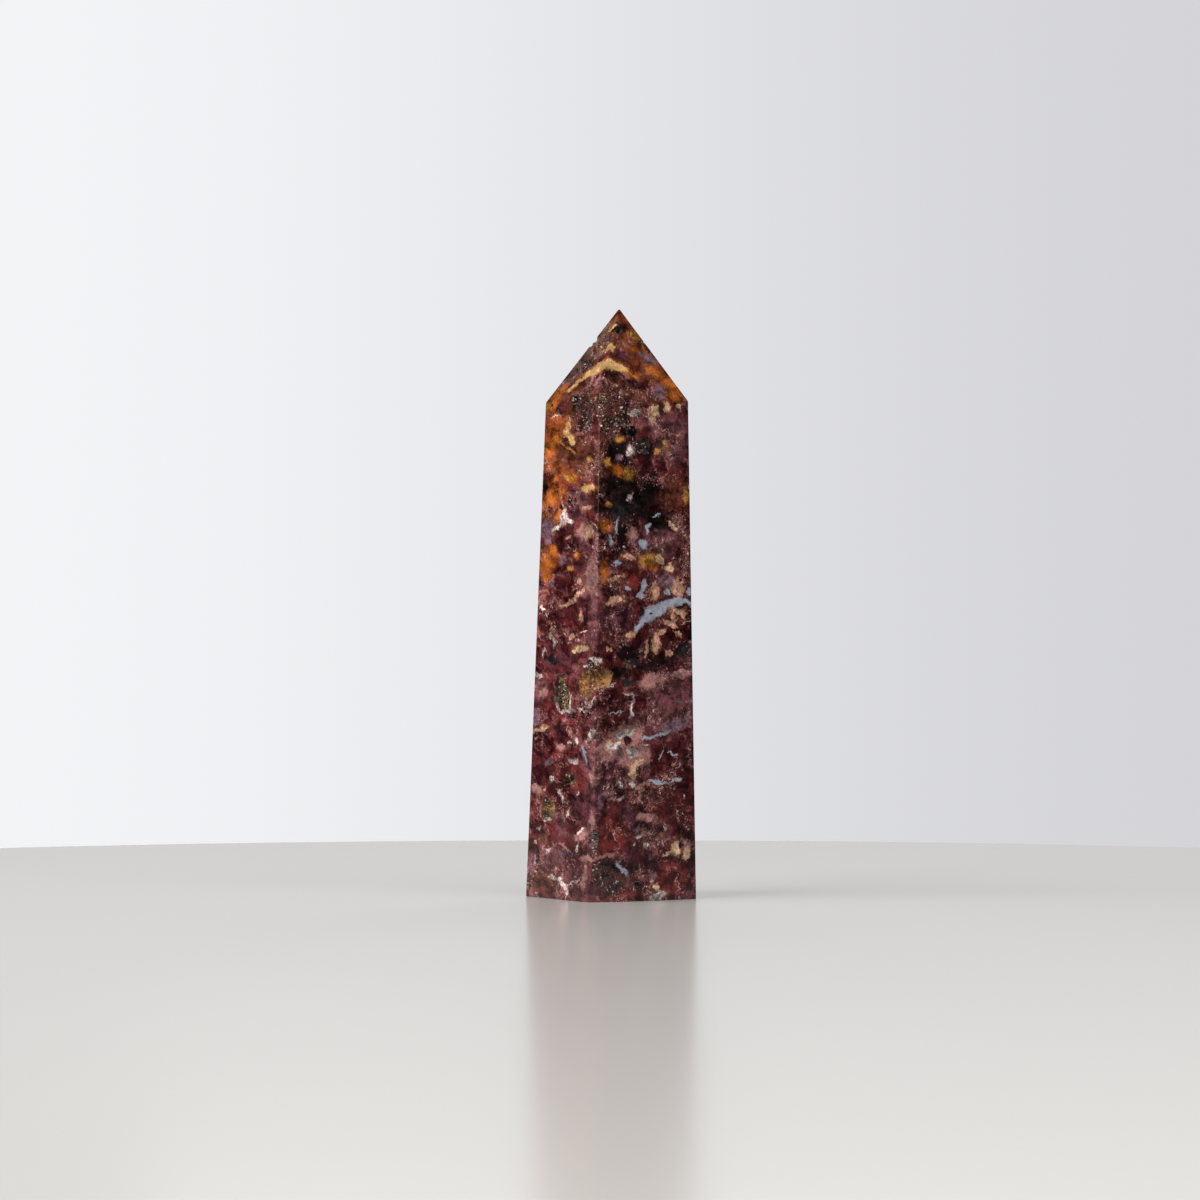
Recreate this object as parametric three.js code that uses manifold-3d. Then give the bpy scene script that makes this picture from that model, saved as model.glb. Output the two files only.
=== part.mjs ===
// A polished tower of lace agate, ground from one stone: four flat sides that lean in, a four-sided point,
// eased edges, natural hollows lined with small quartz crystals, and a lower corner left as it broke.
// Millimetres, +Z up. The origin is the middle of the flat base; the front face looks along -Y.
import * as THREE from "three";
import { ConvexGeometry } from "three/addons/geometries/ConvexGeometry.js";
import { ImprovedNoise } from "three/addons/math/ImprovedNoise.js";
import { mergeVertices } from "three/addons/utils/BufferGeometryUtils.js";
import Module from "manifold-3d";

const wasm = await Module();
wasm.setup();

// The ground outline: the base, and where the four side planes stand at the shoulder.
const baseWidth = 18.35;
const baseDepth = 19.55;
const towerHeight = 90;
const shoulderLevel = 75.3;
const shoulderSides = { left: -7.28, right: 8.68, front: -8.63, back: 7.23 };
const shoulderCornerHeights = { frontLeft: 75.3, frontRight: 75.2, backRight: 75, backLeft: 75.7 };
const apex = new THREE.Vector3(1.05, -0.9, towerHeight);

// How far each edge is taken back by the polish, measured square to the edge.
const sideEdgeEase = { frontLeft: 0.16, frontRight: 0.3, backRight: 0.28, backLeft: 0.2 };
const pointEdgeEase = 0.1;
const shoulderEdgeEase = 0.07;
const baseEdgeEase = 0.12;
const apexBlunt = 0.35;

// The lower front corner that broke away: where the break meets the base and the front edge.
const breakOnLeftFace = new THREE.Vector3(-9.17, -8.1, 0);
const breakOnFrontFace = new THREE.Vector3(-4.2, -9.77, 0);
const breakOnEdge = new THREE.Vector3(-9.0, -9.66, 6.6);

// Natural hollows: the middle, the half sizes, how lumpy the wall is and how many crystals line it.
const hollows = [
  { at: [-2.3, 1.7, 85.1], half: [0.9, 1.4, 0.9], lumps: 0.3, crystals: 4 },
  { at: [-2.9, -1.0, 84.0], half: [1.2, 1.9, 1.9], lumps: 0.35, crystals: 12 },
  { at: [-0.4, -2.8, 86.0], half: [0.9, 0.9, 0.8], lumps: 0.3, crystals: 0 },
  { at: [-7.43, -4.4, 72.6], half: [1.5, 2.2, 3.3], lumps: 0.25, crystals: 22 },
  { at: [-7.33, -1.9, 75.0], half: [1.9, 0.7, 1.1], lumps: 0.3, crystals: 0 },
  { at: [-5.2, -8.83, 71.7], half: [2.4, 1.3, 3.3], lumps: 0.25, crystals: 26 },
  { at: [-2.5, -8.73, 71.4], half: [0.6, 1.5, 2.8], lumps: 0.35, crystals: 0 },
  { at: [-1.5, -8.83, 69.7], half: [1.2, 1.7, 1.3], lumps: 0.3, crystals: 6 },
  { at: [0.2, -8.83, 67.9], half: [1.3, 0.8, 1.4], lumps: 0.35, crystals: 10 },
  { at: [-8.73, -8.33, 31.9], half: [2.9, 3.6, 2.9], lumps: 0.22, crystals: 10 },
  { at: [-8.53, 0.5, 31.2], half: [1.5, 2.7, 3.3], lumps: 0.25, crystals: 20 },
  { at: [-8.83, -2.3, 17.8], half: [1.2, 1.7, 1.3], lumps: 0.3, crystals: 8 },
  { at: [-8.93, 3.7, 13.6], half: [1.2, 1.8, 2.2], lumps: 0.3, crystals: 12 },
  { at: [-9.03, -9.43, 9.2], half: [1.1, 1.5, 2.6], lumps: 0.3, crystals: 10 },
  { at: [-7.6, -9.73, 3.2], half: [2.2, 0.9, 2.3], lumps: 0.35, crystals: 8 },
  { at: [-1.6, -9.73, 4.9], half: [0.7, 0.6, 0.6], lumps: 0.3, crystals: 0 },
  { at: [-1.3, -9.73, 2.0], half: [0.5, 0.6, 0.7], lumps: 0.3, crystals: 0 },
  { at: [7.0, -9.53, 20.8], half: [0.6, 0.5, 0.8], lumps: 0.3, crystals: 0 },
  { at: [9.03, 2.6, 49.5], half: [1.4, 2.3, 3.0], lumps: 0.25, crystals: 20 },
  { at: [9.03, -3.8, 22.4], half: [0.9, 1.2, 1.6], lumps: 0.3, crystals: 0 },
  { at: [1.6, 8.93, 26.5], half: [2.5, 1.4, 3.4], lumps: 0.25, crystals: 22 },
  { at: [-2.8, 8.03, 58.6], half: [1.3, 0.9, 1.7], lumps: 0.3, crystals: 8 },
];
const crystal = { radius: 0.42, length: 1.5, pointShare: 0.4, rootShare: 0.35, sides: 6, lean: 0.9 };
const crystalGrowth = { least: 0.7, spread: 0.5, rhythm: 3.1 };

const zAxis = new THREE.Vector3(0, 0, 1);
const wheelSize = 60;
const hollowDetail = { least: 2, most: 4 };
const broadLump = { scale: 1.4, share: 1 };
const fineLump = { scale: 3.2, share: 0.5 };
const noiseStep = new THREE.Vector3(7.3, -3.1, 5.7);
const goldenAngle = Math.PI * (3 - Math.sqrt(5));

// A closed three.js geometry as a solid that can be joined and cut.
function solidFrom(geometry) {
  const bare = new THREE.BufferGeometry();
  bare.setAttribute("position", geometry.getAttribute("position").clone());
  if (geometry.index) bare.setIndex(geometry.index.clone());
  const merged = mergeVertices(bare, 1e-4);
  return new wasm.Manifold(
    new wasm.Mesh({
      numProp: 3,
      vertProperties: new Float32Array(merged.attributes.position.array),
      triVerts: new Uint32Array(merged.index.array),
    }),
  );
}

// A solid as a geometry with flat faces.
function geometryFrom(solid) {
  const mesh = solid.getMesh();
  const indexed = new THREE.BufferGeometry();
  indexed.setAttribute("position", new THREE.BufferAttribute(mesh.vertProperties, 3));
  indexed.setIndex(new THREE.BufferAttribute(mesh.triVerts, 1));
  const faceted = indexed.toNonIndexed();
  faceted.computeVertexNormals();
  return faceted;
}

// The point at height z on the upright edge where a left or right side meets a front or back side.
function cornerAt(xSide, ySide, z) {
  const up = z / shoulderLevel;
  const baseX = (Math.sign(shoulderSides[xSide]) * baseWidth) / 2;
  const baseY = (Math.sign(shoulderSides[ySide]) * baseDepth) / 2;
  return new THREE.Vector3(
    THREE.MathUtils.lerp(baseX, shoulderSides[xSide], up),
    THREE.MathUtils.lerp(baseY, shoulderSides[ySide], up),
    z,
  );
}

// The four upright edges in order round the tower, each with its foot and its shoulder corner.
const uprights = [
  ["left", "front", "frontLeft"],
  ["right", "front", "frontRight"],
  ["right", "back", "backRight"],
  ["left", "back", "backLeft"],
].map(([xSide, ySide, name]) => ({
  name,
  foot: cornerAt(xSide, ySide, 0),
  shoulder: cornerAt(xSide, ySide, shoulderCornerHeights[name]),
}));

// The outward normal of the plane through three points, given the way that is out.
function outwardNormal(a, b, c, outside) {
  const normal = b.clone().sub(a).cross(c.clone().sub(a)).normalize();
  return normal.dot(outside) < 0 ? normal.negate() : normal;
}

// Grinds away all that lies beyond the plane through a point.
function grind(solid, point, normal) {
  const wheel = new THREE.BoxGeometry(wheelSize, wheelSize, wheelSize);
  wheel.translate(0, 0, wheelSize / 2);
  wheel.applyQuaternion(new THREE.Quaternion().setFromUnitVectors(zAxis, normal.clone().normalize()));
  wheel.translate(point.x, point.y, point.z);
  return solid.subtract(solidFrom(wheel));
}

// Eases the edge that starts at a corner and lies between two faces.
function easeEdge(solid, corner, normalA, normalB, ease) {
  const normal = normalA.clone().add(normalB).normalize();
  return grind(solid, corner.clone().addScaledVector(normal, -ease), normal);
}

// The flat-faced stone with its edges eased, before the hollows.
function groundStone() {
  const corners = uprights.flatMap(({ foot, shoulder }) => [foot, shoulder]);
  let stone = solidFrom(new ConvexGeometry([...corners, apex]));
  const down = new THREE.Vector3(0, 0, -1);
  const faces = uprights.map((upright, i) => {
    const next = uprights[(i + 1) % uprights.length];
    const outside = upright.foot.clone().add(next.foot);
    return {
      side: outwardNormal(upright.foot, next.foot, next.shoulder, outside),
      point: outwardNormal(upright.shoulder, next.shoulder, apex, outside),
    };
  });
  uprights.forEach(({ name, foot, shoulder }, i) => {
    const before = faces[(i + faces.length - 1) % faces.length];
    stone = easeEdge(stone, foot, before.side, faces[i].side, sideEdgeEase[name]);
    stone = easeEdge(stone, shoulder, before.point, faces[i].point, pointEdgeEase);
    stone = easeEdge(stone, shoulder, faces[i].side, faces[i].point, shoulderEdgeEase);
    stone = easeEdge(stone, foot, faces[i].side, down, baseEdgeEase);
  });
  stone = grind(stone, apex.clone().addScaledVector(zAxis, -apexBlunt), zAxis);
  const brokenOff = outwardNormal(breakOnLeftFace, breakOnFrontFace, breakOnEdge, breakOnLeftFace);
  return grind(stone, breakOnEdge, brokenOff);
}

const noise = new ImprovedNoise();

// Smooth noise between -1 and 1 that is different for each seed.
function lumpAt(point, seed, { scale, share } = broadLump) {
  const place = point.clone().multiplyScalar(scale).addScaledVector(noiseStep, seed);
  return share * noise.noise(place.x, place.y, place.z);
}

// The lumpy lens that a hollow takes out of the stone.
function hollowSolid({ at, half, lumps }, seed) {
  const size = Math.max(...half);
  const detail = THREE.MathUtils.clamp(Math.round(size) + 1, hollowDetail.least, hollowDetail.most);
  const lens = new THREE.IcosahedronGeometry(1, detail);
  const position = lens.getAttribute("position");
  const point = new THREE.Vector3();
  for (let i = 0; i < position.count; i += 1) {
    point.fromBufferAttribute(position, i);
    point.multiplyScalar(1 + lumps * (lumpAt(point, seed) + lumpAt(point, seed, fineLump)));
    position.setXYZ(i, point.x * half[0], point.y * half[1], point.z * half[2]);
  }
  lens.translate(...at);
  return solidFrom(lens);
}

// One six-sided crystal with a point, standing on the origin along +Z.
function crystalGeometry(radius, length) {
  const shaft = length * (1 - crystal.pointShare);
  const outline = [
    new THREE.Vector2(0, 0),
    new THREE.Vector2(radius, 0),
    new THREE.Vector2(radius, shaft),
    new THREE.Vector2(0, length),
  ];
  return new THREE.LatheGeometry(outline, crystal.sides);
}

// The crystals that line a hollow: rooted in its wall, leaning this way and that towards its middle.
function hollowCrystals({ at, half, crystals }, seed) {
  const middle = new THREE.Vector3(...at);
  return Array.from({ length: crystals }, (_, i) => {
    const height = 1 - (2 * (i + 0.5)) / crystals;
    const ring = Math.sqrt(1 - height * height);
    const turn = i * goldenAngle + seed;
    const onWall = new THREE.Vector3(Math.cos(turn) * ring, Math.sin(turn) * ring, height);
    const sway = new THREE.Vector3(lumpAt(onWall, seed + i), lumpAt(onWall, seed - i), lumpAt(onWall, i));
    const along = onWall.clone().negate().addScaledVector(sway, crystal.lean).normalize();
    const swell = Math.abs(Math.sin(turn * crystalGrowth.rhythm));
    const growth = crystalGrowth.least + crystalGrowth.spread * swell;
    const shape = crystalGeometry(crystal.radius * growth, crystal.length * growth);
    shape.applyQuaternion(new THREE.Quaternion().setFromUnitVectors(zAxis, along));
    const root = onWall.multiply(new THREE.Vector3(...half)).add(middle);
    root.addScaledVector(along, -crystal.rootShare * crystal.length * growth);
    shape.translate(root.x, root.y, root.z);
    return solidFrom(shape);
  });
}

// The whole tower: the ground stone less its hollows, with the crystals grown back into them and
// polished flush with the faces.
function towerSolid() {
  const ground = groundStone();
  const opened = hollows.reduce((stone, hollow, i) => stone.subtract(hollowSolid(hollow, i + 1)), ground);
  const grown = hollows.flatMap((hollow, i) => hollowCrystals(hollow, i + 1));
  const lined = grown.reduce((stone, one) => stone.add(one), opened);
  return lined.intersect(ground);
}

const agate = new THREE.MeshStandardMaterial({
  name: "polished_agate",
  color: new THREE.Color().setRGB(0.4, 0.19, 0.17, THREE.SRGBColorSpace),
  roughness: 0.16,
  metalness: 0,
});

const tower = new THREE.Group();
const stoneMesh = new THREE.Mesh(geometryFrom(towerSolid()), agate);
stoneMesh.name = "agate_tower";
tower.add(stoneMesh);

export default tower;
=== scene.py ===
import math
import random
import bpy
from mathutils import Matrix, Vector


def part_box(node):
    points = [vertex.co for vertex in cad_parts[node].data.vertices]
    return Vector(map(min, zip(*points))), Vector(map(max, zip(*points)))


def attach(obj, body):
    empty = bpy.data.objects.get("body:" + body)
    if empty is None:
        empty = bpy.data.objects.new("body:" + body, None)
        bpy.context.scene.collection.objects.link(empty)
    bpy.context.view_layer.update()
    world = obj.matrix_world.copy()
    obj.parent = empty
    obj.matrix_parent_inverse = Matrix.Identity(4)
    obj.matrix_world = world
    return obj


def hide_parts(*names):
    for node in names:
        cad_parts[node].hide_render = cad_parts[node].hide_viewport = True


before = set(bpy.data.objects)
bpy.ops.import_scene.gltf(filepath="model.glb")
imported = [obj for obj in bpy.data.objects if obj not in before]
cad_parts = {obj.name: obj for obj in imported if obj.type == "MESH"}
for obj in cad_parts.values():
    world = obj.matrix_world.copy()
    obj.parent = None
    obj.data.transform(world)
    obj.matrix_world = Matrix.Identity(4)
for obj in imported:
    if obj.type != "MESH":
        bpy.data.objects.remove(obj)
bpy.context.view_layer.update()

mm = 0.001  # the sizes below are in millimetres, the scene is in metres
random.seed(29)  # the same crystals and hidden markings on every run
low, high = (Vector(corner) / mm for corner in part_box("agate_tower"))
scene = bpy.context.scene
scene.view_settings.view_transform = "Standard"


def pickOnly(piece):
    bpy.ops.object.select_all(action="DESELECT")
    piece.select_set(True)
    bpy.context.view_layer.objects.active = piece


def settle(piece):  # puts the piece's place and size into its mesh
    pickOnly(piece)
    bpy.ops.object.transform_apply(location=True, rotation=True, scale=True)


def applyModifier(piece, kind, **values):
    pickOnly(piece)
    modifier = piece.modifiers.new(kind.title(), kind)
    for name, value in values.items():
        setattr(modifier, name, value)
    bpy.ops.object.modifier_apply(modifier=modifier.name)


# The ground stone: where its four leaning sides and four point facets lie
stone = {
    "shoulder": {"left": -7.28, "right": 8.68, "front": -8.63, "back": 7.23, "up": 75.3},
    "cornerHeights": {"frontLeft": 75.3, "frontRight": 75.2, "backRight": 75.0, "backLeft": 75.7},
    "apex": Vector((1.05, -0.9, 90.0)),
    "edgeRounding": {"frontLeft": 0.2, "frontRight": 0.3, "backRight": 0.4, "backLeft": 0.22},
    "pointRounding": 0.16,
    "shoulderRounding": 0.14,
    "baseRounding": 0.16,
    "flatUpTo": 75,  # a height that all four sides reach
    "baseBelow": 1,
    "shoulderBelow": 80,
    "crispFrom": 40,  # degrees between two faces from which their edge stays crisp
    "breakPlane": (Vector((-9.17, -8.1, 0)), Vector((-4.2, -9.77, 0)), Vector((-9.0, -9.66, 6.6))),
}
cornerSides = {
    "frontLeft": ("left", "front"),
    "frontRight": ("right", "front"),
    "backRight": ("right", "back"),
    "backLeft": ("left", "back"),
}
baseSides = {"left": low.x, "right": high.x, "front": low.y, "back": high.y}


def cornerAt(name, up):  # a point of the upright edge, or of the point's edge above the shoulder
    xSide, ySide = cornerSides[name]
    shoulder = stone["shoulder"]
    top = stone["cornerHeights"][name]
    rise = min(up, top) / shoulder["up"]
    x = baseSides[xSide] + (shoulder[xSide] - baseSides[xSide]) * rise
    y = baseSides[ySide] + (shoulder[ySide] - baseSides[ySide]) * rise
    if up <= top:
        return Vector((x, y, up))
    return Vector((x, y, top)).lerp(stone["apex"], (up - top) / (stone["apex"].z - top))


def outwardNormal(a, b, c):
    normal = (b - a).cross(c - a).normalized()
    return normal if normal.dot(a) > 0 else -normal


faceEdges = {  # the edge that a face's measurements start from, its other edge, and its right-hand way
    "front": ("frontLeft", "frontRight", Vector((1, 0, 0))),
    "left": ("frontLeft", "backLeft", Vector((0, -1, 0))),
    "right": ("frontRight", "backRight", Vector((0, 1, 0))),
    "back": ("backLeft", "backRight", Vector((-1, 0, 0))),
}


def facePlanes(face):  # the side and the point facet above it, each as a point and an outward normal
    first, second, _ = faceEdges[face]
    foot, shoulder, otherFoot = cornerAt(first, 0), cornerAt(first, stone["flatUpTo"]), cornerAt(second, 0)
    corner, otherCorner = (cornerAt(name, stone["cornerHeights"][name]) for name in (first, second))
    side = foot, outwardNormal(foot, shoulder, otherFoot)
    return side, (corner, outwardNormal(corner, otherCorner, stone["apex"]))


groundPlanes = [plane for face in faceEdges for plane in facePlanes(face)]


def buildGroundStone():
    bpy.ops.object.select_all(action="DESELECT")
    across = baseSides["right"] - baseSides["left"]
    deep = baseSides["back"] - baseSides["front"]
    tall = stone["apex"].z
    middle = Vector((baseSides["left"] + across / 2, baseSides["front"] + deep / 2, tall / 2))
    bpy.ops.mesh.primitive_cube_add(size=1, location=middle * mm, scale=(across * mm, deep * mm, tall * mm))
    tower = bpy.context.object
    tower.name = "polishedTower"
    settle(tower)
    bpy.ops.object.mode_set(mode="EDIT")
    for point, normal in groundPlanes:
        bpy.ops.mesh.select_all(action="SELECT")
        bpy.ops.mesh.bisect(plane_co=point * mm, plane_no=normal, use_fill=True, clear_outer=True)
    bpy.ops.object.mode_set(mode="OBJECT")
    roundEdges(tower)
    a, b, c = stone["breakPlane"]
    bpy.ops.object.mode_set(mode="EDIT")
    bpy.ops.mesh.select_all(action="SELECT")
    bpy.ops.mesh.bisect(plane_co=a * mm, plane_no=outwardNormal(a, b, c), use_fill=True, clear_outer=True)
    bpy.ops.object.mode_set(mode="OBJECT")
    return tower


def facingOf(normal):  # the face that looks most nearly this way
    ways = {face: facePlanes(face)[0][1] for face in faceEdges}
    return max(ways, key=lambda face: ways[face].dot(normal))


def nearestCorner(place):
    return min(cornerSides, key=lambda name: (cornerAt(name, place.z) - place).length)


def edgeWidth(start, end):  # how widely the polish has rounded the edge between two points
    lowEnd, highEnd = sorted((start.z, end.z))
    if highEnd < stone["baseBelow"]:
        return stone["baseRounding"]
    if lowEnd < stone["baseBelow"]:
        return stone["edgeRounding"][nearestCorner((start + end) / 2)]
    return stone["shoulderRounding"] if highEnd < stone["shoulderBelow"] else stone["pointRounding"]


def roundEdges(tower):
    mesh = tower.data
    widest = max(stone["edgeRounding"].values())
    weights = mesh.attributes.new("bevel_weight_edge", "FLOAT", "EDGE")
    for edge in mesh.edges:
        start, end = (mesh.vertices[v].co / mm for v in edge.vertices)
        weights.data[edge.index].value = edgeWidth(start, end) / widest
    applyModifier(tower, "BEVEL", width=widest * mm, segments=4, limit_method="WEIGHT")


tower = buildGroundStone()
print("ground stone", len(tower.data.polygons), "faces")

# Natural hollows: the middle, the half sizes, the turn about the upright, the lining, the crystals
hollows = {
    "tipNotch": ((-2.3, 1.7, 85.1), (0.9, 1.4, 0.9), 0, "tawny", 4),
    "tipRough": ((-2.7, -1.0, 84.1), (1.1, 1.7, 2.1), 0, "tawny", 12),
    "tipRoughLow": ((-4.4, 0.2, 81.4), (0.8, 2.6, 1.3), 0, "brown", 12),
    "tipPit": ((-0.5, -2.7, 86.1), (0.8, 0.8, 0.8), 0, "dark", 5),
    "shoulderLeft": ((-7.42, -4.4, 72.6), (1.5, 2.6, 2.9), 0, "druse", 260),
    "shoulderHole": ((-7.32, -1.9, 75.1), (1.8, 0.7, 0.9), 0, "dark", 0),
    "shoulderFront": ((-5.2, -8.72, 72.0), (2.4, 1.4, 3.0), 0, "druse", 340),
    "shoulderCleft": ((-2.6, -8.72, 72.0), (0.5, 1.3, 2.4), 0, "dark", 10),
    "crevice": ((-1.5, -8.82, 69.9), (1.1, 1.6, 0.9), 0, "dark", 10),
    "lowerDruse": ((0.3, -8.82, 67.9), (1.3, 0.7, 1.2), 0, "dark", 30),
    "shoulderEdge": ((-7.62, -8.82, 73.6), (1.3, 1.5, 1.7), 0, "brown", 40),
    "ochreHollow": ((-8.52, -9.02, 33.1), (2.9, 2.3, 1.9), 0, "ochre", 12),
    "ochreSide": ((-8.92, -6.4, 32.2), (1.7, 2.3, 2.2), 0, "ochre", 14),
    "ochreFoot": ((-9.02, -7.0, 30.0), (1.2, 1.9, 1.0), 0, "tawny", 30),
    "ochreTop": ((-8.82, -8.02, 35.0), (1.2, 1.4, 0.8), 0, "quartz", 30),
    "leftHollow": ((-8.82, 0.9, 31.6), (1.4, 1.7, 2.1), 0, "oliveAndShade", 50),
    "leftFoot": ((-8.92, -0.4, 29.8), (1.2, 1.5, 1.5), 0, "oliveAndShade", 50),
    "smallVug": ((-8.82, -2.3, 17.8), (1.2, 1.6, 1.0), 0, "oliveAndShade", 40),
    "lowVug": ((-8.92, 3.7, 13.3), (1.2, 2.0, 1.8), 0, "oliveAndShade", 60),
    "edgeChip": ((-9.22, -9.62, 9.0), (1.0, 1.3, 2.3), 0, "grey", 26),
    "footBreak": ((-7.62, -10.02, 3.0), (3.2, 0.9, 3.1), -8, "burnt", 40),
    "pitA": ((-1.6, -9.72, 4.9), (0.5, 0.5, 0.5), 0, "dark", 3),
    "pitB": ((-1.4, -9.72, 2.4), (0.5, 0.6, 0.5), 0, "dark", 3),
    "pitC": ((7.0, -9.52, 20.8), (0.35, 0.4, 0.5), 0, "dark", 0),
    "pitD": ((-8.52, 4.4, 24.9), (0.5, 0.6, 0.6), 0, "dark", 4),
    "rightVug": ((9.02, 2.6, 49.5), (1.4, 2.3, 2.9), 0, "druse", 200),
    "rightPit": ((9.02, -3.8, 22.4), (0.9, 1.2, 1.6), 0, "ochre", 16),
    "backVug": ((1.6, 8.92, 26.5), (2.5, 1.4, 3.3), 0, "oliveAndShade", 90),
    "backPit": ((-2.8, 8.02, 58.6), (1.3, 0.9, 1.7), 0, "grey", 26),
}
hollowWall = {"broad": (1.5, 0.85), "knobs": (0.5, 0.22), "grains": (0.18, 0.08)}  # size, height
fineFrom = 1.5  # a hollow that reaches further than this has a finer wall


def lumpTexture(name):
    texture = bpy.data.textures.new(name, "CLOUDS")
    texture.noise_scale = hollowWall[name][0] * mm
    return texture


wallTextures = {name: lumpTexture(name) for name in hollowWall}


def addHollowShape(at, half, turn):
    fine = max(half) > fineFrom
    bpy.ops.object.select_all(action="DESELECT")
    bpy.ops.mesh.primitive_ico_sphere_add(subdivisions=5 if fine else 4, radius=1, location=Vector(at) * mm,
                                          rotation=(0, 0, math.radians(turn)), scale=Vector(half) * mm)
    shape = bpy.context.object
    settle(shape)
    share = min(1, min(half))
    for name, texture in wallTextures.items():
        applyModifier(shape, "DISPLACE", texture=texture, strength=2 * hollowWall[name][1] * share * mm)
    return shape


def dressFaces(tower, materials):  # each side and the point facet above it take the side's own finish, painted shading of that side included
    for face in faceEdges:
        tower.data.materials.append(materials[face])
    for polygon in tower.data.polygons:
        polygon.material_index = list(faceEdges).index(facingOf(polygon.normal))


def hollowOut(tower, wallMaterial):
    for at, half, turn, _, _ in hollows.values():
        shape = addHollowShape(at, half, turn)
        shape.data.materials.append(wallMaterial)
        applyModifier(tower, "BOOLEAN", object=shape, operation="DIFFERENCE", solver="EXACT",
                      material_mode="TRANSFER")
        bpy.data.objects.remove(shape)


def node(tree, kind, inputs=None, **settings):  # adds a shader node, and links or sets its inputs
    added = tree.nodes.new("ShaderNode" + kind)
    for name, value in settings.items():
        setattr(added, name, value)
    for key, value in (inputs or {}).items():
        if isinstance(value, bpy.types.NodeSocket):
            tree.links.new(value, added.inputs[key])
        else:
            added.inputs[key].default_value = value
    return added


def maths(tree, operation, *values, clamp=False):
    return node(tree, "Math", dict(enumerate(values)), operation=operation, use_clamp=clamp).outputs[0]


def vectorMaths(tree, operation, *values):
    added = node(tree, "VectorMath", dict(enumerate(values)), operation=operation)
    return added.outputs["Value" if operation in ("DOT_PRODUCT", "LENGTH") else "Vector"]


def scaled(tree, vector, factor):
    return node(tree, "VectorMath", {0: vector, "Scale": factor}, operation="SCALE").outputs[0]


def rescale(tree, value, start, end, toStart=0.0, toEnd=1.0):
    inputs = {"Value": value, "From Min": start, "From Max": end, "To Min": toStart, "To Max": toEnd}
    return node(tree, "MapRange", inputs, interpolation_type="SMOOTHSTEP").outputs[0]


def noiseOf(tree, place, scale, detail=3.0, roughness=0.55, output="Fac"):
    inputs = {"Vector": place, "Scale": scale, "Detail": detail, "Roughness": roughness}
    return node(tree, "TexNoise", inputs).outputs[output]


def mixColour(tree, amount, under, over, blend="MIX"):
    mix = node(tree, "Mix", data_type="RGBA", blend_type=blend)
    for key, value in ((0, amount), (6, under), (7, over)):
        if isinstance(value, bpy.types.NodeSocket):
            tree.links.new(value, mix.inputs[key])
        else:
            mix.inputs[key].default_value = value
    return mix.outputs[2]


def newGroup(name, inputs, outputs):
    group = bpy.data.node_groups.new(name, "ShaderNodeTree")
    for label, kind in inputs.items():
        group.interface.new_socket(label, in_out="INPUT", socket_type="NodeSocket" + kind)
    for label, kind in outputs.items():
        group.interface.new_socket(label, in_out="OUTPUT", socket_type="NodeSocket" + kind)
    start = group.nodes.new("NodeGroupInput")
    end = group.nodes.new("NodeGroupOutput")
    return group, start.outputs, end.inputs


def fillGroup(tree, group, inputs):
    added = tree.nodes.new("ShaderNodeGroup")
    added.node_tree = group
    for key, value in inputs.items():
        if isinstance(value, bpy.types.NodeSocket):
            tree.links.new(value, added.inputs[key])
        else:
            added.inputs[key].default_value = value
    return added.outputs


def makeWarpGroup():  # pushes places about, so that what is laid on them turns uneven
    inputs = {"Place": "Vector", "Source": "Vector", "Scale": "Float", "Reach": "Vector"}
    group, given, result = newGroup("unevenPlace", inputs, {"Place": "Vector"})
    push = noiseOf(group, given["Source"], given["Scale"], 4.0, 0.6, "Color")
    centred = vectorMaths(group, "SUBTRACT", push, (0.5, 0.5, 0.5))
    moved = vectorMaths(group, "MULTIPLY", centred, given["Reach"])
    group.links.new(vectorMaths(group, "ADD", given["Place"], moved), result["Place"])
    return group


def makeSpotGroup():  # how far out from the middle of one oval marking: 1 is its rim
    vectors = {name: "Vector" for name in ("Place", "Centre", "Across", "Up", "Out")}
    group, given, result = newGroup("stoneSpot", vectors, {"Reach": "Float"})
    offset = vectorMaths(group, "SUBTRACT", given["Place"], given["Centre"])
    ways = [vectorMaths(group, "DOT_PRODUCT", offset, given[name]) for name in ("Across", "Up", "Out")]
    joined = node(group, "CombineXYZ", {i: way for i, way in enumerate(ways)}).outputs[0]
    group.links.new(vectorMaths(group, "LENGTH", joined), result["Reach"])
    return group


fleckShape = {"smallest": 0.4, "core": 0.6}


def makeFleckGroup():  # scattered grains: a share of the cells holds one
    inputs = {"Place": "Vector", "Cells": "Float", "Size": "Float", "Share": "Float"}
    group, given, result = newGroup("stoneFlecks", inputs, {"Mask": "Float", "Shade": "Float"})
    cells = node(group, "TexVoronoi", {"Vector": given["Place"], "Scale": given["Cells"]})
    parts = node(group, "SeparateColor", {0: cells.outputs["Color"]})
    chosen = maths(group, "LESS_THAN", parts.outputs[0], given["Share"])
    share = maths(group, "ADD", parts.outputs[1], fleckShape["smallest"])
    radius = maths(group, "MULTIPLY", given["Size"], share)
    core = maths(group, "MULTIPLY", radius, fleckShape["core"])
    inside = rescale(group, cells.outputs["Distance"], radius, core)
    group.links.new(maths(group, "MULTIPLY", chosen, inside), result["Mask"])
    group.links.new(parts.outputs[2], result["Shade"])
    return group


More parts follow.
